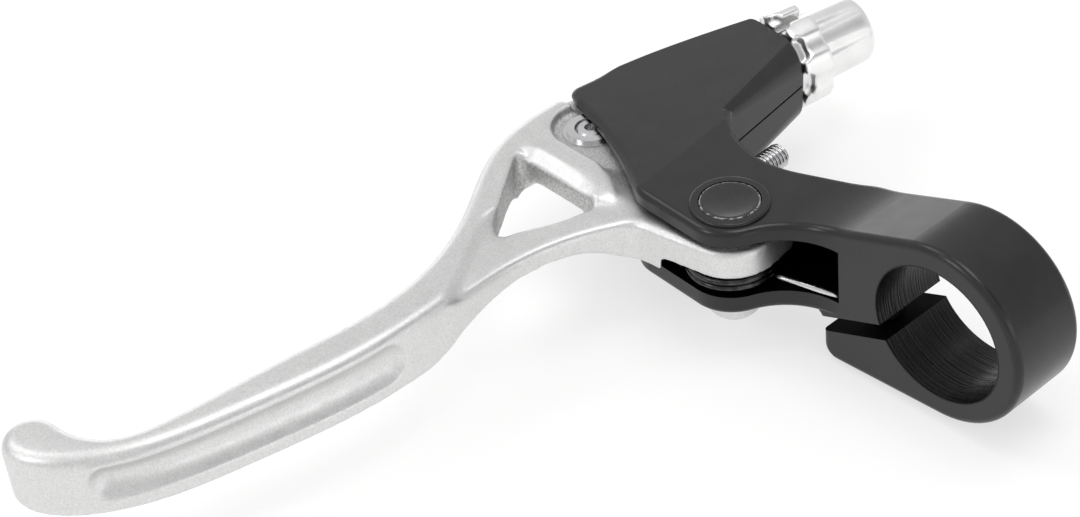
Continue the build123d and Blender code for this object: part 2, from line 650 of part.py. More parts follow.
def anchor_bush():
    """The rimmed bush that the cable's swivel pin turns in."""
    flange_top = HEAD_TOP_Z + ANCHOR_FLANGE_HEIGHT
    sleeve = disc(ANCHOR_BUSH_DIAMETER / 2, YOKE_BOTTOM_Z, HEAD_TOP_Z, ANCHOR)
    flange = disc(ANCHOR_FLANGE_DIAMETER / 2, HEAD_TOP_Z, flange_top, ANCHOR)
    rim = disc(ANCHOR_RIM_DIAMETER / 2, HEAD_TOP_Z, HEAD_TOP_Z + ANCHOR_RIM_HEIGHT, ANCHOR)
    bore = disc(ANCHOR_PIN_DIAMETER / 2 + RUNNING_CLEARANCE, -FAR, FAR, ANCHOR)
    return sleeve + flange + rim - bore - CABLE * cable_fan()


def anchor_pin():
    """The swivel pin, drilled for the cable."""
    top = HEAD_TOP_Z + ANCHOR_RIM_HEIGHT
    pin = disc(ANCHOR_PIN_DIAMETER / 2, YOKE_BOTTOM_Z, top, ANCHOR)
    pin = chamfer(pin.faces().sort_by(Axis.Z)[-1].edges(), ANCHOR_PIN_CHAMFER)
    pin -= disc(ANCHOR_PIN_DIMPLE / 2, top - ANCHOR_PIN_DIMPLE, top, ANCHOR)
    return pin - CABLE * rod(CABLE_SLOT / 2, -FAR, FAR)


def barrel_adjuster():
    """The hollow fluted barrel that takes the cable housing, slotted for the cable."""
    neck_of_head = NECK_END + RING_GAP + RING_LENGTH
    head = Pos(0, 0, neck_of_head) * Cone(
        BARREL_HEAD_DIAMETER / 2, BARREL_TIP_DIAMETER / 2, BARREL_END - neck_of_head,
        align=(Align.CENTER, Align.CENTER, Align.MIN))
    head = fillet(head.faces().sort_by(Axis.Z)[-1].edges(), BARREL_ROUND)
    reach = BARREL_HEAD_DIAMETER / 2 + BARREL_FLUTE_RADIUS - BARREL_FLUTE_DEPTH
    for place in PolarLocations(reach, BARREL_FLUTES, start_angle=180 / BARREL_FLUTES):
        head -= place * rod(BARREL_FLUTE_RADIUS, neck_of_head, BARREL_END)
    barrel = head + rod(BARREL_DIAMETER / 2, BARREL_START, neck_of_head)
    barrel -= rod(CABLE_HOLE / 2, 0, FAR)
    barrel -= rod(HOUSING_DIAMETER / 2 + HOUSING_CLEARANCE, BARREL_END - HOUSING_DEPTH, FAR)
    barrel -= Pos(FAR / 2, 0, FAR / 2) * Box(FAR, CABLE_SLOT, FAR)
    return CABLE * barrel


def lock_ring():
    """The castellated ring that jams against the neck, slotted for the cable."""
    start = NECK_END + RING_GAP
    end = start + RING_LENGTH
    radius = RING_DIAMETER / 2
    ring = rod(radius, start, end)
    notch = RectangleRounded(2 * RING_NOTCH_LENGTH, RING_NOTCH_WIDTH, RING_NOTCH_CORNER)
    notch = extrude(Plane.ZY * notch, -2 * RING_NOTCH_DEPTH)
    for turn in PolarLocations(0, RING_NOTCHES, start_angle=RING_SLOT_ANGLE):
        ring -= turn * Pos(radius - RING_NOTCH_DEPTH, 0, start) * notch
        flute = Pos(radius + RING_FLUTE_RADIUS - RING_FLUTE_DEPTH, 0) * rod(RING_FLUTE_RADIUS, start, end)
        ring -= turn * flute
    ring -= rod(BARREL_DIAMETER / 2 + RUNNING_CLEARANCE, start, end)
    cable_way = Pos(FAR / 2, 0, start) * Box(FAR, CABLE_SLOT, FAR)
    return CABLE * (ring - Rot(0, 0, RING_SLOT_ANGLE) * cable_way)


def reach_screw():
    """The set screw that the blade rests against."""
    tip = PIVOT_X + HEAD_RADIUS + (NOSE_SIDE - HEAD_RADIUS) * REACH_OFFSET / NOSE_FRONT + REACH_GAP
    tip += (REACH_DIAMETER / 2) * (NOSE_SIDE - HEAD_RADIUS) / NOSE_FRONT
    screw = Cylinder(REACH_DIAMETER / 2, REACH_LENGTH, align=(Align.CENTER, Align.CENTER, Align.MIN))
    ends = screw.edges().filter_by(GeomType.CIRCLE)
    screw = chamfer(ends, REACH_CHAMFER)
    screw -= Pos(0, 0, REACH_LENGTH - REACH_SOCKET_DEPTH) * hexagon(REACH_SOCKET, REACH_SOCKET_DEPTH)
    return Pos(tip, REACH_Y, SLOT_MID_Z) * Rot(0, 90, 0) * screw


def clamp_bolt():
    """The bolt that closes the clamp."""
    head = disc(BOLT_HEAD_DIAMETER / 2, BOLT_HEAD_TOP_Z - BOLT_HEAD_HEIGHT, BOLT_HEAD_TOP_Z, BOLT_AXIS)
    socket = Pos(0, BOLT_Y, BOLT_HEAD_TOP_Z - BOLT_HEAD_HEIGHT) * hexagon(BOLT_SOCKET, BOLT_SOCKET_DEPTH)
    return head + disc(BOLT_DIAMETER / 2, BOLT_HEAD_TOP_Z, BOLT_END_Z, BOLT_AXIS) - socket


def clamp_washer():
    """The washer under the head of the clamp bolt."""
    ring = disc(BOLT_WASHER_DIAMETER / 2, BOLT_HEAD_TOP_Z, BOLT_SEAT_Z, BOLT_AXIS)
    return ring - disc(BOLT_DIAMETER / 2 + RUNNING_CLEARANCE, -FAR, FAR, BOLT_AXIS)


PIECES = [
    bracket_body, lever_blade, pivot_axle, pivot_screw, pivot_bush, thrust_washer, return_spring,
    anchor_bush, anchor_pin, barrel_adjuster, lock_ring, reach_screw, clamp_bolt, clamp_washer,
]

for piece in PIECES:
    export_step(piece(), f"parts/{piece.__name__}.step")
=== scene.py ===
import json
from math import cos, pi, radians, sin
import bmesh
import bpy
import numpy as np
from mathutils import Matrix, Vector

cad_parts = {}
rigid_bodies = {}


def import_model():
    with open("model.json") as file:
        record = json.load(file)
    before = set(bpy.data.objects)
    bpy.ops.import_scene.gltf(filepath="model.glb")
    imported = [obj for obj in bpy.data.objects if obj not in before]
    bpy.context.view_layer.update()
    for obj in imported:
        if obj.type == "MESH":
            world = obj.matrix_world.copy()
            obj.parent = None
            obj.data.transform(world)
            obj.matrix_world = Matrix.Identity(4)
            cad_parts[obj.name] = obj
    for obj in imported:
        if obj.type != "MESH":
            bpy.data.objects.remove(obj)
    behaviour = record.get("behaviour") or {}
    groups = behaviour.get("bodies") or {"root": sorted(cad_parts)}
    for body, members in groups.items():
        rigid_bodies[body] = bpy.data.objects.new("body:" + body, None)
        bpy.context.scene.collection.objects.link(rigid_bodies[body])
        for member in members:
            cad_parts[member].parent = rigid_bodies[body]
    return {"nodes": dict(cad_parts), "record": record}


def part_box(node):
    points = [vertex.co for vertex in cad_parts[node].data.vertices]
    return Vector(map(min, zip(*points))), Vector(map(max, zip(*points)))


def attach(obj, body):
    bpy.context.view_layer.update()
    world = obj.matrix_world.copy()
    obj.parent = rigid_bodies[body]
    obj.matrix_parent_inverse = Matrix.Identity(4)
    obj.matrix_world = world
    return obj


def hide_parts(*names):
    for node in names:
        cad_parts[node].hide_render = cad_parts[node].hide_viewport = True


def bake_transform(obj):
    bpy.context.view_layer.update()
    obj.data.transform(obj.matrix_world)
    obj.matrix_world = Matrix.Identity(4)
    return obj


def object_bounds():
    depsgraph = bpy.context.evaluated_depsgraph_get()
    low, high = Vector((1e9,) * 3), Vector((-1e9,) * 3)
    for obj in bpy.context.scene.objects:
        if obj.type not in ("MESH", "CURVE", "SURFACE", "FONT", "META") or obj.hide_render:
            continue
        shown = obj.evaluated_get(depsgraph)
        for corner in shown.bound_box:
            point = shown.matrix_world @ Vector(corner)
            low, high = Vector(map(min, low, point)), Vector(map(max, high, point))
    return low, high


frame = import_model()
cad_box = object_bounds()
scene = bpy.context.scene
scene.view_settings.view_transform = "Standard"
MM = 0.001

# Places taken over from the solids, in millimetres
PIVOT = Vector((-10.7, 36.0, 0.0))
SLOT_BOTTOM = -4.1
SLOT_END = 18.4
SLOT_MIDDLE = 0.6
SLOT_HALF = 4.7
SLIT_ANGLE = radians(21.5)
SLIT_DROP = 1.1
SLIT_HALF = 1.25
SLIT_Y = (8.0, 22.4)
WAIST_BEND = Vector((0.8, 33.8, 0.0))
WAIST_SIDE = Vector((0.954, 0.300, 0.0))
WAIST_RADIUS = 18.27
NECK_WALL_X = 5.5
CABLE_ANGLE = radians(-9.5)
BORE_REACH = 11.35
COIL_REACH = 7.6
AXLE_EDGE = 4.5
MASK_MARGIN = 0.05

# Lines and places on the blade, seen from above and measured from the pivot
WINDOW = [(-25.8, 24.7), (-9.4, 36.9), (-9.9, 17.9)]
LIP = [(6.0, 41.0), (4.8, 38.4), (0.5, 26.0), (-6.7, 12.9), (-7.4, 0.0), (-7.4, -8.0)]
LEG_STEP = [(-46.0, 14.0), (-33.0, 21.0), (-24.0, 26.8), (-21.0, 26.0), (-12.0, 20.5), (-7.0, 15.0)]
RIB_END = (-6.5, 19.0)
POCKET_X, POCKET_Y = (-6.0, -4.5), (16.0, 19.0)

# How the skins are softened: size of their faces, rounds, and where each weight fades out
BLADE_SKIN, ADJUSTER_SKIN = 0.34, 0.2
PULL = 0.5
CAST_ROUNDS, STEP_ROUNDS, RIB_ROUNDS, GRIP_ROUNDS = 10, 45, 90, 4
BARREL_ROUNDS, RING_ROUNDS = 14, 12
STEP_SHIFT, STEP_BAND, STEP_Y, STEP_Z = 0.8, (1.5, 3.0), (18.6, 20.6), (3.0, 3.8)
RIB_BAND, RIB_Z, RIB_CLEAR = (3.5, 6.5), (3.3, 3.9), (0.6, 1.4)
GRIP_FADE = 4.0

# Where the blade shows its darker unpainted casting, also painted shade beside the fork's lip: fades by
# the tilt of the surface, by distance and by height
WALL_TILT, TOP_TILT = (0.35, 0.7), (0.4, 0.8)
WINDOW_FADE, LIP_FADE, POCKET_Z = (0.3, 0.9), (-0.9, 0.3), (4.7, 5.5)
LIP_SHADE_SHARE, POCKET_SHARE = 0.5, 0.8

# The grip and the finger groove in it
GRIP_X = (-112.0, -58.0)
GRIP_MIDDLE_X = -85.0
GRIP_FOOT_Z = (-4.4, -3.2)
GRIP_RIM_Z, GRIP_RIM = 3.8, 2.0
GROOVE_X = (-105.45, -63.7)
GROOVE_Z = (-2.75, 4.35)
GROOVE_NARROW = 0.5
GROOVE_DEPTH = 1.95
GROOVE_EDGE = 0.004
CARVE_Z = (-4.2, 5.0)
CARVE_DEPTH = 2.6
CARVE_FADE = (-0.9, -0.4)

# The front edge of the top plate, where it meets the neck
EDGE_START = Vector((0.69, 77.03, 0.0))
EDGE_END = Vector((5.45, 76.18, 0.0))
EDGE_INWARD = Vector((-0.176, -0.984, 0.0))
EDGE_OVERLAP = Vector((0.75, -0.134, 0.0))
EDGE_LOW = 5.3
EDGE_DEPTH, EDGE_WIDENING = 1.6, 3.0
EDGE_SQUARED = 0.92
PLATE_EDGE_Z, PLATE_RISE_ALONG, PLATE_RISE_IN = 6.1405, 0.0206, 0.0684
SKIN_GAP = 0.004

# The photo's camera: focal length and image width in pixels, place in millimetres, and two of its axes
FOCAL_LENGTH, IMAGE_WIDTH = 2500, 1080
CAMERA_PLACE = Vector((-216.974, -173.408, 232.731))
CAMERA_RIGHT = Vector((0.72967, -0.67825, -0.08688))
CAMERA_DOWN = Vector((-0.47356, -0.40958, -0.77973))
SENSOR_WIDTH = 36.0

# Studio: the lamps with their place, size and power, all aimed at one point, the world and the floor
AIM = Vector((-0.02, 0.03, 0.0))
LAMPS = {
    "key": ((0.10, -0.10, 0.95), (0.5, 0.4), 1.9),
    "rear": ((-0.24, 0.62, 0.76), (0.42, 0.36), 1.0),
    "left": ((-0.80, 0.26, 0.55), (0.25, 0.4), 1.2),
    "front": ((0.03, -0.90, 0.20), (0.8, 0.26), 0.75),
    "back": ((0.46, 0.88, 0.10), (0.7, 0.24), 0.7),
}
DARK_PATCH = Vector((0.22, -0.62, 0.75)).normalized()
WORLD_LEVEL = 0.82
FLOOR_RADIUS, FLOOR_GAP, FLOOR_GLOW = 4.0, 0.2, 0.62


# Camera

def add_camera():
    """The camera fitted to the photo."""
    data = bpy.data.cameras.new("camera")
    data.sensor_width = SENSOR_WIDTH
    data.lens = SENSOR_WIDTH * FOCAL_LENGTH / IMAGE_WIDTH
    data.clip_start = 0.01
    data.clip_end = 50.0
    back = CAMERA_RIGHT.cross(-CAMERA_DOWN)
    turn = Matrix((CAMERA_RIGHT, -CAMERA_DOWN, back)).transposed()
    camera = bpy.data.objects.new("camera", data)
    camera.matrix_world = Matrix.Translation(CAMERA_PLACE * MM) @ turn.to_4x4()
    scene.collection.objects.link(camera)
    scene.camera = camera


# Materials

class Shader:
    """A material with one Principled shader, and short ways to add the nodes that drive it."""

    def __init__(self, name, metallic, roughness, colour):
        self.material = bpy.data.materials.new(name)
        self.material.use_nodes = True
        self.nodes = self.material.node_tree.nodes
        self.links = self.material.node_tree.links
        self.bsdf = self.nodes["Principled BSDF"]
        self.bsdf.inputs["Metallic"].default_value = metallic
        self.bsdf.inputs["Roughness"].default_value = roughness
        self.bsdf.inputs["Base Color"].default_value = (*colour, 1)
        self.place = self.nodes.new("ShaderNodeTexCoord").outputs["Object"]

    def join(self, source, target):
        self.links.new(source, target)

    def math(self, operation, a, b=None, clamp=False):
        node = self.nodes.new("ShaderNodeMath")
        node.operation = operation
        node.use_clamp = clamp
        for socket, value in zip(node.inputs, (a, b)):
            if isinstance(value, (int, float)):
                socket.default_value = value
            elif value is not None:
                self.join(value, socket)
        return node.outputs[0]

    def vector(self, operation, a, b):
        node = self.nodes.new("ShaderNodeVectorMath")
        node.operation = operation
        self.join(a, node.inputs[0])
        node.inputs[1].default_value = b
        return node.outputs["Value" if operation == "DOT_PRODUCT" else "Vector"]

    def length(self, source):
        node = self.nodes.new("ShaderNodeVectorMath")
        node.operation = "LENGTH"
        self.join(source, node.inputs[0])
        return node.outputs["Value"]

    def noise(self, scale, detail=3.0, place=None):
        node = self.nodes.new("ShaderNodeTexNoise")
        node.inputs["Scale"].default_value = scale
        node.inputs["Detail"].default_value = detail
        self.join(place or self.place, node.inputs["Vector"])
        return node.outputs["Fac"]

    def cells(self, scale):
        node = self.nodes.new("ShaderNodeTexVoronoi")
        node.inputs["Scale"].default_value = scale
        self.join(self.place, node.inputs["Vector"])
        return node.outputs["Color"]

    def span(self, source, low, high, start=0.3, end=0.7):
        node = self.nodes.new("ShaderNodeMapRange")
        node.inputs["From Min"].default_value = start
        node.inputs["From Max"].default_value = end
        node.inputs["To Min"].default_value = low
        node.inputs["To Max"].default_value = high
        self.join(source, node.inputs["Value"])
        return node.outputs["Result"]

    def ramp(self, source, dark, light, start=0.3, end=0.7):
        node = self.nodes.new("ShaderNodeValToRGB")
        first, last = node.color_ramp.elements
        first.position, last.position = start, end
        first.color = (*dark, 1)
        last.color = (*light, 1)
        self.join(source, node.inputs["Fac"])
        return node.outputs["Color"]

    def tint(self, source, dark, light):
        self.join(self.ramp(source, dark, light), self.bsdf.inputs["Base Color"])

    def mix(self, share, first, second):
        node = self.nodes.new("ShaderNodeMix")
        node.data_type = "RGBA"
        self.join(share, node.inputs[0])
        self.join(first, node.inputs[6])
        self.join(second, node.inputs[7])
        return node.outputs[2]

    def share(self, name):
        node = self.nodes.new("ShaderNodeAttribute")
        node.attribute_name = name
        return node.outputs["Fac"]

    def roughen(self, source, low, high):
        self.join(self.span(source, low, high), self.bsdf.inputs["Roughness"])

    def bump(self, height, strength, distance, under=None):
        node = self.nodes.new("ShaderNodeBump")
        node.inputs["Strength"].default_value = strength
        node.inputs["Distance"].default_value = distance
        self.join(height, node.inputs["Height"])
        if under:
            self.join(under, node.inputs["Normal"])
        self.join(node.outputs["Normal"], self.bsdf.inputs["Normal"])
        return node.outputs["Normal"]


def grey(level):
    return (level, level, level * 0.995)


def flat_length(shader, centre):
    """Distance from an upright line through a point, in metres."""
    away = shader.vector("SUBTRACT", shader.place, centre)
    return shader.length(shader.vector("MULTIPLY", away, (1, 1, 0)))


def inside_bracket(shader):
    """1 between the fork plates and in the clamp's slit, where the paint is darkened as painted shade,
    and 0 elsewhere.
    """
    split = shader.nodes.new("ShaderNodeSeparateXYZ")
    shader.join(shader.place, split.inputs[0])
    x, y, z = split.outputs
    centre = (WAIST_BEND + WAIST_SIDE * WAIST_RADIUS) * MM
    beyond = shader.math("GREATER_THAN", flat_length(shader, centre), WAIST_RADIUS * MM)
    past = shader.math("GREATER_THAN", y, WAIST_BEND.y * MM)
    away = shader.vector("SUBTRACT", shader.place, WAIST_BEND * MM)
    across = shader.vector("DOT_PRODUCT", away, WAIST_SIDE)
    left = shader.math("MAXIMUM", past, shader.math("LESS_THAN", across, 0.0))
    inner = shader.math("MULTIPLY", beyond, left)
    inner = shader.math("MULTIPLY", inner, shader.math("LESS_THAN", x, NECK_WALL_X * MM))
    level = shader.math("ABSOLUTE", shader.math("SUBTRACT", z, SLOT_MIDDLE * MM))
    between = shader.math("LESS_THAN", level, (SLOT_HALF + MASK_MARGIN) * MM)
    front = shader.math("GREATER_THAN", y, (SLOT_END - 2 * MASK_MARGIN) * MM)
    slot = shader.math("MULTIPLY", shader.math("MULTIPLY", inner, between), front)
    drop = shader.vector("DOT_PRODUCT", shader.place, (0, sin(SLIT_ANGLE), cos(SLIT_ANGLE)))
    near = shader.math("ABSOLUTE", shader.math("ADD", drop, SLIT_DROP * MM))
    slit = shader.math("LESS_THAN", near, (SLIT_HALF + MASK_MARGIN) * MM)
    slit = shader.math("MULTIPLY", slit, shader.math("GREATER_THAN", y, SLIT_Y[0] * MM))
    slit = shader.math("MULTIPLY", slit, shader.math("LESS_THAN", y, SLIT_Y[1] * MM))
    return shader.math("MAXIMUM", slot, slit)


def black_paint():
    """Satin paint over a casting, rougher inside the fork and its slit, with painted shade darkening
    them and the clamp's bore, where there are turned streaks.
    """
    shader = Shader("black_paint", 0.0, 0.3, grey(0.015))
    shader.bsdf.inputs["Specular IOR Level"].default_value = 0.42
    inside = inside_bracket(shader)
    skin = shader.ramp(shader.noise(220), grey(0.011), grey(0.016))
    # painted shade: the inside of the fork and the clamp's slit are painted near black
    painted_shade_black = shader.ramp(shader.noise(500), grey(0.002), grey(0.005))
    shader.join(shader.mix(inside, skin, painted_shade_black), shader.bsdf.inputs["Base Color"])
    gloss = shader.span(shader.noise(300), 0.22, 0.28)
    dulled = shader.math("ADD", gloss, shader.math("MULTIPLY", inside, 0.6), clamp=True)
    shader.join(dulled, shader.bsdf.inputs["Roughness"])
    peel = shader.bump(shader.noise(900, 2.0), 0.03, 0.0001)
    from_bar = shader.length(shader.vector("MULTIPLY", shader.place, (0, 1, 1)))
    bore = shader.math("LESS_THAN", from_bar, BORE_REACH * MM)
    # painted shade: the fork's inside, its slit and the clamp's bore turn metallic over the dark colour,
    # so they reflect less and look darker
    shade_metallic = shader.math("MAXIMUM", inside, shader.math("MULTIPLY", bore, 0.72))
    shader.join(shade_metallic, shader.bsdf.inputs["Metallic"])
    streaks = shader.noise(1.0, 4.0, shader.vector("MULTIPLY", shader.place, (3200, 60, 60)))
    shader.bump(shader.math("MULTIPLY", streaks, bore), 0.9, 0.0002, peel)
    return shader.material


def silver_cast():
    """Satin silver paint with fine flakes, and a rougher, darker unpainted casting where its share says
    so; beside the fork's lip that darker colour is also painted shade.
    """
    shader = Shader("silver_cast", 1.0, 0.42, grey(0.78))
    bare_and_shade = shader.share("bare_and_shade")
    paint = shader.ramp(shader.noise(3200, 2.0), grey(0.65), grey(0.77))
    # darker colour of the unpainted casting, which beside the fork's lip also stands for painted shade
    casting = shader.ramp(shader.noise(2400, 4.0), grey(0.4), grey(0.68))
    shader.join(shader.mix(bare_and_shade, paint, casting), shader.bsdf.inputs["Base Color"])
    satin = shader.span(shader.noise(420), 0.38, 0.48)
    rough = shader.math("ADD", satin, shader.math("MULTIPLY", bare_and_shade, 0.12))
    shader.join(rough, shader.bsdf.inputs["Roughness"])
    cast = shader.bump(shader.noise(900, 3.0), 0.08, 0.0001)
    grain = shader.bump(shader.cells(5000), 0.10, 0.00004, cast)
    pits = shader.math("MULTIPLY", shader.noise(2400, 4.0), bare_and_shade)
    shader.bump(pits, 0.5, 0.0002, grain)
    return shader.material


def bright_alloy():
    """Polished alloy with faint turning marks round the cable's line."""
    shader = Shader("bright_alloy", 1.0, 0.2, grey(0.86))
    along = shader.vector("DOT_PRODUCT", shader.place, (cos(CABLE_ANGLE), sin(CABLE_ANGLE), 0))
    line = shader.nodes.new("ShaderNodeCombineXYZ")
    shader.join(along, line.inputs["X"])
    marks = shader.noise(4000, 2.0, line.outputs["Vector"])
    shader.tint(shader.noise(300), grey(0.82), grey(0.9))
    shader.roughen(shader.noise(500), 0.28, 0.36)
    shader.bump(marks, 0.06, 0.00005)
    return shader.material


def pivot_reach(shader):
    """Distance from the pivot's axis, and height, both in metres."""
    return flat_length(shader, PIVOT * MM), shader.vector("DOT_PRODUCT", shader.place, (0, 0, 1))


def plain_metal(name, metallic, colour, spread, rough):
    """A small piece's metal, a little uneven in colour and gloss."""
    shader = Shader(name, metallic, rough, colour)
    dark = [c * (1 - spread) for c in colour]
    light = [c * (1 + spread) for c in colour]
    shader.tint(shader.noise(450), dark, light)
    shader.roughen(shader.noise(900), rough * 0.8, rough * 1.2)
    shader.bump(shader.noise(2500, 2.0), 0.05, 0.00005)
    return shader


def bright_steel():
    """Zinc plated steel, with painted shade darkening the coil of the spring."""
    shader = plain_metal("bright_steel", 1.0, (0.66, 0.66, 0.67), 0.08, 0.24)
    plate = shader.bsdf.inputs["Base Color"].links[0].from_socket
    reach, height = pivot_reach(shader)
    # painted shade: the coil under the blade is painted dark, as if in shadow
    coil = shader.math("LESS_THAN", reach, COIL_REACH * MM)
    coil = shader.math("MULTIPLY", coil, shader.math("GREATER_THAN", height, SLOT_BOTTOM * MM))
    coil = shader.math("MULTIPLY", coil, shader.math("LESS_THAN", height, 0.0))
    painted_coil_shade = shader.ramp(shader.noise(700), grey(0.02), grey(0.09))
    shader.join(shader.mix(coil, plate, painted_coil_shade), shader.bsdf.inputs["Base Color"])
    return shader.material


def black_steel():
    """Blackened steel, with a painted highlight in places along the edge of the axle's head."""
    shader = plain_metal("black_steel", 0.0, (0.019, 0.019, 0.02), 0.15, 0.26)
    black = shader.bsdf.inputs["Base Color"].links[0].from_socket
    reach, height = pivot_reach(shader)
    # painted highlight: a lighter, broken ring of colour along the rounded edge of the axle's head
    edge = shader.math("ABSOLUTE", shader.math("SUBTRACT", reach, AXLE_EDGE * MM))
    painted_rim_highlight = shader.span(edge, 1.0, 0.0, 0.08 * MM, 0.16 * MM)
    painted_rim_highlight = shader.math("MULTIPLY", painted_rim_highlight, shader.span(shader.noise(1500, 1.0), 0.0, 1.0, 0.44, 0.56))
    painted_rim_highlight = shader.math("MULTIPLY", painted_rim_highlight, shader.math("GREATER_THAN", height, 0.0))
    steel = shader.ramp(shader.noise(900), grey(0.25), grey(0.4))
    shader.join(shader.mix(painted_rim_highlight, black, steel), shader.bsdf.inputs["Base Color"])
    return shader.material


FINISHES = {
    "black_paint": black_paint(),
    "silver_cast": silver_cast(),
    "bright_alloy": bright_alloy(),
    "bright_steel": bright_steel(),
    "black_steel": black_steel(),
    "bearing_bronze": plain_metal("bearing_bronze", 1.0, (0.62, 0.47, 0.28), 0.08, 0.3).material,
}


def dress_solids():
    """Give each solid the finish that the record names for it."""
    for part in frame["record"]["subparts"]:
        solid = bpy.data.objects[part["node"]]
        solid.data.materials.clear()
        solid.data.materials.append(FINISHES[part["material_slot"]])


# Pieces

def add_piece(name, mesh, slot):
    """Link a mesh made in millimetres as a smooth piece with its finish."""
    mesh.transform(Matrix.Scale(MM, 4))
    mesh.materials.append(FINISHES[slot])
    piece = bpy.data.objects.new(name, mesh)
    scene.collection.objects.link(piece)
    return piece


def grid_mesh(name, rows):
    """Join rows of points, each a closed ring, into a closed surface with a fan at each end."""
    work = bmesh.new()
    rings = [[work.verts.new(point) for point in row] for row in rows]
    for low, high in zip(rings, rings[1:]):
        for i in range(len(low)):
            j = (i + 1) % len(low)
            work.faces.new((low[i], low[j], high[j], high[i]))
    for ring, turn in ((rings[0], -1), (rings[-1], 1)):
        centre = work.verts.new(sum((v.co for v in ring), Vector()) / len(ring))
        for i in range(len(ring)):
            pair = (ring[i], ring[(i + 1) % len(ring)])
            work.faces.new((*pair[::turn], centre))
    bmesh.ops.recalc_face_normals(work, faces=work.faces)
    mesh = bpy.data.meshes.new(name)
    work.to_mesh(mesh)
    work.free()
    for face in mesh.polygons:
        face.use_smooth = True
    return mesh


def tube_rows(path, radius, sides):
    """Rings of points round a path, carried along it without twist."""
    rows = []
    side = (path[1] - path[0]).orthogonal().normalized()
    for i, point in enumerate(path):
        ahead = path[min(i + 1, len(path) - 1)] - path[max(i - 1, 0)]
        ahead.normalize()
        side = (side - ahead * side.dot(ahead)).normalized()
        up = ahead.cross(side)
        rows.append([
            point + radius * (side * cos(2 * pi * k / sides) + up * sin(2 * pi * k / sides))
            for k in range(sides)
        ])
    return rows


def bend(before, corner, after, reach, steps=8):
    """A smooth turn at a corner between two runs of wire."""
    start = corner + (before - corner).normalized() * reach
    end = corner + (after - corner).normalized() * reach
    return [
        start * (1 - t) ** 2 + corner * 2 * t * (1 - t) + end * t ** 2
        for t in (i / steps for i in range(steps + 1))
    ]


def ease(value, low, high):
    """0 below low, 1 above high and smooth between them."""
    share = np.clip((value - low) / (high - low), 0, 1)
    return share * share * (3 - 2 * share)


def side_of(points, path, endless=False):
    """Signed distance of flat points from the nearest run of a path, more than 0 to its left."""
    best = np.full(len(points), np.inf)
    side = np.zeros(len(points))
    for start, end in zip(path, path[1:]):
        start, run = np.array(start), np.subtract(end, start)
        away = points - start
        along = away @ run / (run @ run)
        if not endless:
            along = np.clip(along, 0, 1)
        gap = np.linalg.norm(away - along[:, None] * run, axis=1)
        near = gap < best
        best = np.where(near, gap, best)
        side = np.where(near, np.sign(run[0] * away[:, 1] - run[1] * away[:, 0]), side)
    return best * side


def window_gap(flat):
    """How far flat points lie outside the window's edge lines."""
    sides = zip(WINDOW, WINDOW[1:] + WINDOW[:1])
    return np.max([side_of(flat, side, True) for side in sides], axis=0)


def bare_and_shade_share(points, normals):
    """How much darker unpainted casting the blade shows: the window's walls, the pocket, and beside the
    fork's lip, where it is also painted shade from the top plate's edge.
    """
    flat = points[:, :2] - np.array(PIVOT[:2])
    wall = 1 - ease(np.abs(normals[:, 2]), *WALL_TILT)
    window = (1 - ease(window_gap(flat), *WINDOW_FADE)) * wall
    # painted shade: the head's top beside the fork's lip is darkened as if shaded by the top plate's
    # edge, mixed with rough casting
    under = ease(side_of(flat, LIP), *LIP_FADE) * ease(normals[:, 2], *TOP_TILT)
    low = 1 - ease(points[:, 2], *POCKET_Z)
    pocket = low * ease(flat[:, 0], *POCKET_X) * ease(flat[:, 1], *POCKET_Y)
    return np.maximum(np.maximum(window, LIP_SHADE_SHARE * under), POCKET_SHARE * pocket)


def smooth(points, edges, weights, rounds):
    """Draw each point towards the middle of its neighbours, round by round, by its own weight."""
    count = len(points)
    near, far = edges.T
    links = np.bincount(near, minlength=count) + np.bincount(far, minlength=count)
    for _ in range(rounds):
        for axis in range(3):
            line = points[:, axis]
            total = np.bincount(near, line[far], count) + np.bincount(far, line[near], count)
            points[:, axis] += weights * (total / links - line)


def skin_over(node, name, size):
    """A piece with an even skin of small faces over a solid, its points in millimetres, its edges."""
    mesh = frame["nodes"][node].data.copy()
    mesh.materials.clear()
    work = bmesh.new()
    work.from_mesh(mesh)
    bmesh.ops.remove_doubles(work, verts=work.verts, dist=1e-6)
    work.to_mesh(mesh)
    work.free()
    piece = bpy.data.objects.new(name, mesh)
    scene.collection.objects.link(piece)
    skin = piece.modifiers.new("skin", "REMESH")
    skin.mode = "VOXEL"
    skin.voxel_size = size * MM
    state = bpy.context.evaluated_depsgraph_get()
    final = bpy.data.meshes.new_from_object(piece.evaluated_get(state))
    piece.modifiers.clear()
    piece.data = final
    points = np.empty(3 * len(final.vertices))
    edges = np.empty(2 * len(final.edges), int)
    final.edges.foreach_get("vertices", edges)
    final.vertices.foreach_get("co", points)
    return piece, points.reshape(-1, 3) / MM, edges.reshape(-1, 2)


def set_skin(piece, points, slot, node, body):
    """Put the moved points back and let the piece stand in for its solid."""
    mesh = piece.data
    mesh.vertices.foreach_set("co", (points * MM).ravel())
    mesh.update()
    for face in mesh.polygons:
        face.use_smooth = True
    mesh.materials.append(FINISHES[slot])
    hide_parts(node)
    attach(piece, body)


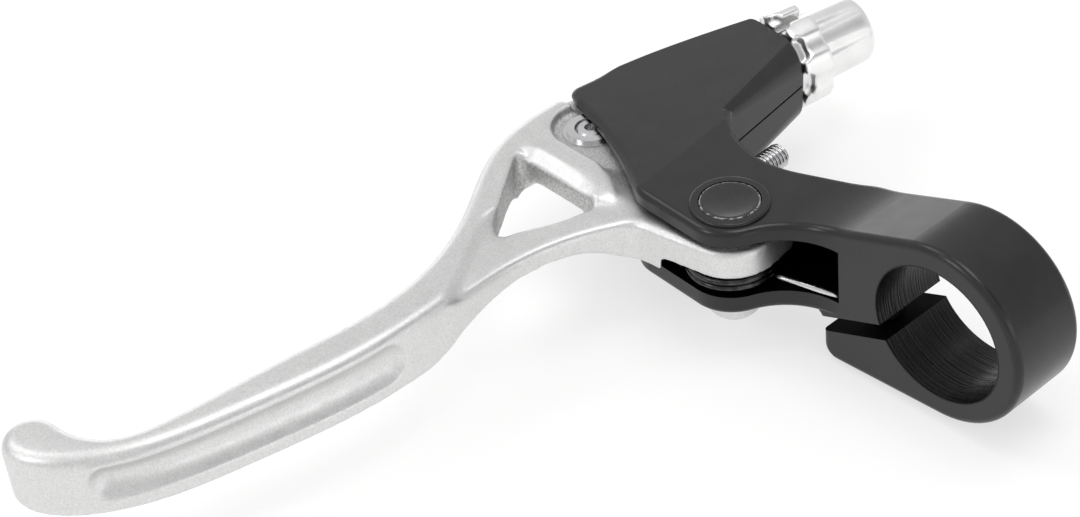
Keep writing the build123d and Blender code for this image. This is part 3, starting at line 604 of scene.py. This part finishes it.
def carve_groove(points):
    """Scoop the finger groove out of the grip's near side, round in section and at both ends."""
    x, y, z = points.T
    stations, reach, degree = np.linspace(*GRIP_X, 90), 0.45, 7
    level = (z > GRIP_FOOT_Z[0]) & (z < GRIP_FOOT_Z[1])
    wall = np.array([np.min(y[level & (np.abs(x - at) < reach)]) for at in stations])
    curve = np.polyfit(stations - GRIP_MIDDLE_X, wall, degree)
    face = np.polyval(curve, x - GRIP_MIDDLE_X)
    slope = np.polyval(np.polyder(curve), x - GRIP_MIDDLE_X)
    lean = np.sqrt(1 + slope ** 2)
    inset = (y - face) / lean
    rim = GRIP_RIM - np.sqrt(np.maximum(GRIP_RIM ** 2 - np.maximum(z - GRIP_RIM_Z, 0) ** 2, 0))
    along = np.clip((x - GROOVE_X[0]) / (GROOVE_X[1] - GROOVE_X[0]), 0, 1)
    middle, half = sum(GROOVE_Z) / 2, (GROOVE_Z[1] - GROOVE_Z[0]) / 2
    half = half - GROOVE_NARROW * (1 - along)
    beyond = np.maximum(GROOVE_X[0] - x, 0) + np.maximum(x - GROOVE_X[1], 0)
    out = 1 - (beyond * lean / half) ** 2 - ((z - middle) / half) ** 2
    scoop = GROOVE_DEPTH * (out + np.sqrt(out ** 2 + GROOVE_EDGE)) / 2
    here = (inset < CARVE_DEPTH) & (z > CARVE_Z[0]) & (z < CARVE_Z[1])
    move = ease(out, *CARVE_FADE) * here * (np.maximum(rim, scoop) - inset) / lean
    points[:, 0] -= move * slope
    points[:, 1] += move


def add_blade():
    """The cast blade: the solid's shape with the soft edges of a painted casting."""
    blade, points, edges = skin_over("lever_blade", "cast_blade", BLADE_SKIN)
    smooth(points, edges, np.full(len(points), PULL), CAST_ROUNDS)
    flat = points[:, :2] - np.array(PIVOT[:2])
    step = np.abs(side_of(flat, LEG_STEP) + STEP_SHIFT)
    soft = (1 - ease(step, *STEP_BAND)) * ease(points[:, 2], *STEP_Z) * ease(flat[:, 1], *STEP_Y)
    smooth(points, edges, PULL * soft, STEP_ROUNDS)
    from_rib = np.linalg.norm(flat - np.array(RIB_END), axis=1)
    rib_end = 1 - ease(from_rib, *RIB_BAND)
    rib_end *= ease(points[:, 2], *RIB_Z) * ease(window_gap(flat), *RIB_CLEAR)
    smooth(points, edges, PULL * rib_end, RIB_ROUNDS)
    carve_groove(points)
    grip = ease(points[:, 0], GRIP_X[0] - GRIP_FADE, GRIP_X[0])
    grip *= 1 - ease(points[:, 0], GRIP_X[1], GRIP_X[1] + GRIP_FADE)
    smooth(points, edges, PULL * grip, GRIP_ROUNDS)
    set_skin(blade, points, "silver_cast", "lever_blade", "lever")
    normals = np.empty(3 * len(points))
    blade.data.vertices.foreach_get("normal", normals)
    bare_and_shade = bare_and_shade_share(points, normals.reshape(-1, 3))
    blade.data.attributes.new("bare_and_shade", "FLOAT", "POINT").data.foreach_set("value", bare_and_shade)


def add_adjuster():
    """The barrel and its lock ring, with their flutes and notches rolled soft."""
    for node, name, body, rounds in (
            ("barrel_adjuster", "rolled_barrel", "barrel", BARREL_ROUNDS),
            ("lock_ring", "rolled_ring", "lock", RING_ROUNDS)):
        piece, points, edges = skin_over(node, name, ADJUSTER_SKIN)
        smooth(points, edges, np.full(len(points), PULL), rounds)
        set_skin(piece, points, "bright_alloy", node, body)


def add_spring():
    """The torsion spring under the blade: its leg rests against the bracket's wall, its hook rises into
    the blade.
    """
    radius, pitch, turns, wire, tail, corner = 6.8, 1.05, 2, 1.0, 2.2, 0.9
    angle = radians(-55)
    low = SLOT_BOTTOM + 0.1 + wire / 2
    heading = Vector((-sin(angle), cos(angle), pitch / (2 * pi * radius)))

    def on_coil(turn):
        a = angle + 2 * pi * turn
        return PIVOT + Vector((radius * cos(a), radius * sin(a), low + pitch * turn))

    first, last = on_coil(0), on_coil(turns)
    knee = first - heading * tail
    hook = last + heading * tail
    foot = Vector((PIVOT.x + 4.9, SLOT_END + 0.1, knee.z))
    top = hook + Vector((0, 0, tail))
    coil = [on_coil(turns * i / 120) for i in range(121)]
    path = [foot, *bend(foot, knee, first, corner), *coil, *bend(last, hook, top, corner), top]
    mesh = grid_mesh("spring_wire", tube_rows(path, wire / 2, 14))
    spring = add_piece("spring_wire", mesh, "bright_steel")
    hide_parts("return_spring")
    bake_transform(spring)


def add_reach_screw():
    """The set screw with its real thread, chamfered ends and hexagon socket."""
    low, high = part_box("reach_screw")
    start, end = low[0] / MM, high[0] / MM
    y, z = (low[1] + high[1]) / 2 / MM, (low[2] + high[2]) / 2 / MM
    outer, depth, pitch, sides = 2.0, 0.40, 0.7, 60
    flank, root, chamfer, foot, socket = 2.6, 0.25, 0.5, 0.8, 2.0

    def ring(x, reach):
        points = []
        for k in range(sides):
            a = 2 * pi * k / sides
            r = reach(x, a)
            points.append(Vector((x, y + r * cos(a), z + r * sin(a))))
        return points

    def thread(x, a):
        phase = ((x - start) / pitch - a / (2 * pi)) % 1.0
        crest = max(0.0, min(1.0, flank * abs(phase - 0.5) - root))
        ends = min(outer, outer - chamfer + (x - start), outer - chamfer + (end - x))
        return min(ends, outer - depth * crest)

    def hexagon(x, a):
        return socket / 2 / cos((a % (pi / 3)) - pi / 6)

    steps = int((end - start) / pitch * 12)
    rows = [ring(start, lambda x, a: foot)]
    rows += [ring(start + (end - start) * i / steps, thread) for i in range(steps + 1)]
    rows += [ring(end - deep, hexagon) for deep in (0.0, 0.1, 2.4, 2.5)]
    mesh = grid_mesh("reach_thread", rows)
    screw = add_piece("reach_thread", mesh, "bright_steel")
    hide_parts("reach_screw")
    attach(screw, "reach")


def add_edge_blend():
    """The round front edge of the top plate, run out into the square edge of the neck."""
    run = (EDGE_END - EDGE_START).length
    steps, arc, proud = 16, 10, 0.012
    rows = []
    for i in range(steps + 1):
        t = i / steps
        at = EDGE_START.lerp(EDGE_END, t) - EDGE_INWARD * proud
        top = PLATE_EDGE_Z + PLATE_RISE_ALONG * run * t - SKIN_GAP
        height = top - EDGE_LOW
        share = float(1.0 - EDGE_SQUARED * ease(t, 0.0, 1.0))
        depth = EDGE_DEPTH + EDGE_WIDENING * t
        profile = [(depth, 0.9 * height), (depth, 0.1)]
        profile += [(depth - 0.1, 0.0), (depth - 0.3, 0.0), (share + 0.1, 0.0)]
        for k in range(arc + 1):
            turn = k / arc * pi / 2
            profile.append((share * (1 - sin(turn)), share * height * (1 - cos(turn))))
        profile.append((0.0, height))
        rows.append([
            at + EDGE_INWARD * u + Vector((0, 0, top + PLATE_RISE_IN * u - w)) for u, w in profile
        ])
    rows.append([point + EDGE_OVERLAP for point in rows[-1]])
    blend = add_piece("edge_blend", grid_mesh("edge_blend", rows), "black_paint")
    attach(blend, "bracket")


# Studio

def add_floor():
    """A pale floor under the lowest point, white to the camera and to reflections."""
    low = cad_box[0][2] - FLOOR_GAP * MM
    work = bmesh.new()
    bmesh.ops.create_circle(work, cap_ends=True, segments=96, radius=FLOOR_RADIUS)
    mesh = bpy.data.meshes.new("floor")
    work.to_mesh(mesh)
    work.free()
    floor = bpy.data.objects.new("floor", mesh)
    floor.location = (0, 0.04, low)
    scene.collection.objects.link(floor)
    shader = Shader("floor", 0.0, 0.9, grey(0.4))
    shader.tint(shader.noise(6), grey(0.39), grey(0.41))
    ray = shader.nodes.new("ShaderNodeLightPath").outputs
    seen = shader.math("ADD", ray["Is Camera Ray"], ray["Is Glossy Ray"])
    seen = shader.math("ADD", seen, ray["Is Transmission Ray"], clamp=True)
    shader.bsdf.inputs["Emission Color"].default_value = (1, 1, 1, 1)
    shader.join(shader.math("MULTIPLY", seen, FLOOR_GLOW), shader.bsdf.inputs["Emission Strength"])
    mesh.materials.append(shader.material)


def add_world():
    """Soft light from all round, with one darker patch high up in front."""
    world = bpy.data.worlds.new("studio")
    scene.world = world
    world.use_nodes = True
    nodes, links = world.node_tree.nodes, world.node_tree.links
    background = nodes["Background"]
    place = nodes.new("ShaderNodeTexCoord").outputs["Generated"]
    dot = nodes.new("ShaderNodeVectorMath")
    dot.operation = "DOT_PRODUCT"
    dot.inputs[1].default_value = DARK_PATCH
    links.new(place, dot.inputs[0])
    ramp = nodes.new("ShaderNodeValToRGB")
    pale, dark = ramp.color_ramp.elements
    pale.position, dark.position = 0.92, 0.98
    pale.color = (0.9, 0.9, 0.9, 1)
    dark.color = (0.3, 0.3, 0.3, 1)
    links.new(dot.outputs["Value"], ramp.inputs["Fac"])
    links.new(ramp.outputs["Color"], background.inputs["Color"])
    background.inputs["Strength"].default_value = WORLD_LEVEL


def add_lamp(name, place, size, power):
    """A soft rectangular lamp that faces the part."""
    data = bpy.data.lights.new(name, "AREA")
    data.shape = "RECTANGLE"
    data.size, data.size_y = size
    data.energy = power
    lamp = bpy.data.objects.new(name, data)
    lamp.location = place
    lamp.rotation_euler = (AIM - Vector(place)).to_track_quat("-Z", "Y").to_euler()
    scene.collection.objects.link(lamp)


add_camera()
dress_solids()
add_blade()
add_adjuster()
add_spring()
add_reach_screw()
add_edge_blend()
add_floor()
add_world()
for lamp_name, (lamp_place, lamp_size, lamp_power) in LAMPS.items():
    add_lamp(lamp_name, lamp_place, lamp_size, lamp_power)
